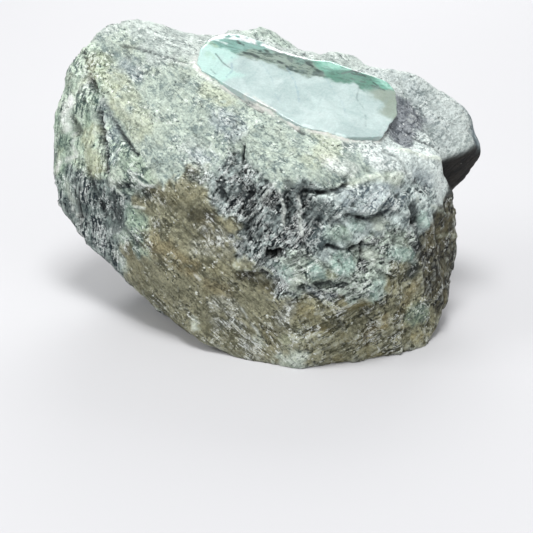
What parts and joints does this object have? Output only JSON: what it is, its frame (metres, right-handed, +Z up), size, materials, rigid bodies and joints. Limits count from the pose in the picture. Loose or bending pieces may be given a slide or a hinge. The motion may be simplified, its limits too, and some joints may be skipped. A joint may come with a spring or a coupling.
{
  "type": "emerald in matrix specimen",
  "caption": "Rough block of foliated schist standing on a flat foot, with a mass of pale green emerald in its crest ground to a sloping polished face.",
  "frame": {"origin": "on the surface the stone rests on, under the middle of the stone", "axes": "+X along the stone's length to the right as seen from the side the polished face slopes towards, +Y away from that side, +Z up"},
  "size_m": [0.2476, 0.1392, 0.1609],
  "materials": {
    "matrix": "rough broken schist, grey-green to olive brown with dark and white streaks",
    "emerald": "ground flat and polished, milky pale green"
  },
  "bodies": {
    "root": {"matrix": "matrix", "emerald": "emerald"}
  },
  "joints": []
}
